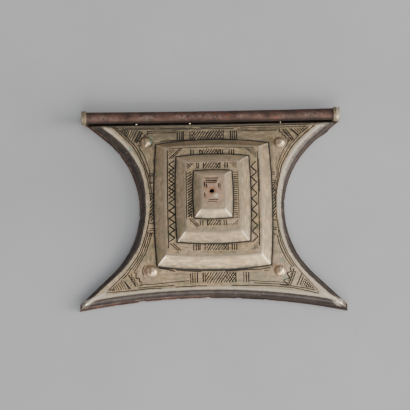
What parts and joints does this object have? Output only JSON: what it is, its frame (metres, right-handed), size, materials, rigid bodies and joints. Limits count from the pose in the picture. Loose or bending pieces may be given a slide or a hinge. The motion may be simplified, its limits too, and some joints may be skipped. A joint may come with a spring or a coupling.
{
  "type": "amulet pendant",
  "caption": "Hollow hourglass-shaped amulet pendant with a stepped-pyramid face, corner studs and a hanging tube with end collars along its upper edge.",
  "frame": {"origin": "bottom centre of the box that holds the whole object, on the surface that its back lies on", "axes": "+X runs along the hanging tube to its right end as the face is seen, +Y points from the middle to the tube, +Z comes out of the face"},
  "size_m": [0.09, 0.0754, 0.0116],
  "materials": {
    "copper": "dark brown oxidised copper sheet, rubbed brighter along its cut edges",
    "copper_tube": "mottled brown oxidised copper with a few pale scratches",
    "silver_face": "aged warm silver, engraved, with dark patina in the lines and at the foot of each step",
    "silver_trim": "aged warm silver, worn bright on top"
  },
  "bodies": {
    "root": {"back_plate": "copper", "face_cover": "silver_face", "hanging_tube": "copper_tube", "left_collar": "silver_trim", "right_collar": "silver_trim", "stud_upper_left": "silver_trim", "stud_upper_right": "silver_trim", "stud_lower_left": "silver_trim", "stud_lower_right": "silver_trim"}
  },
  "joints": []
}
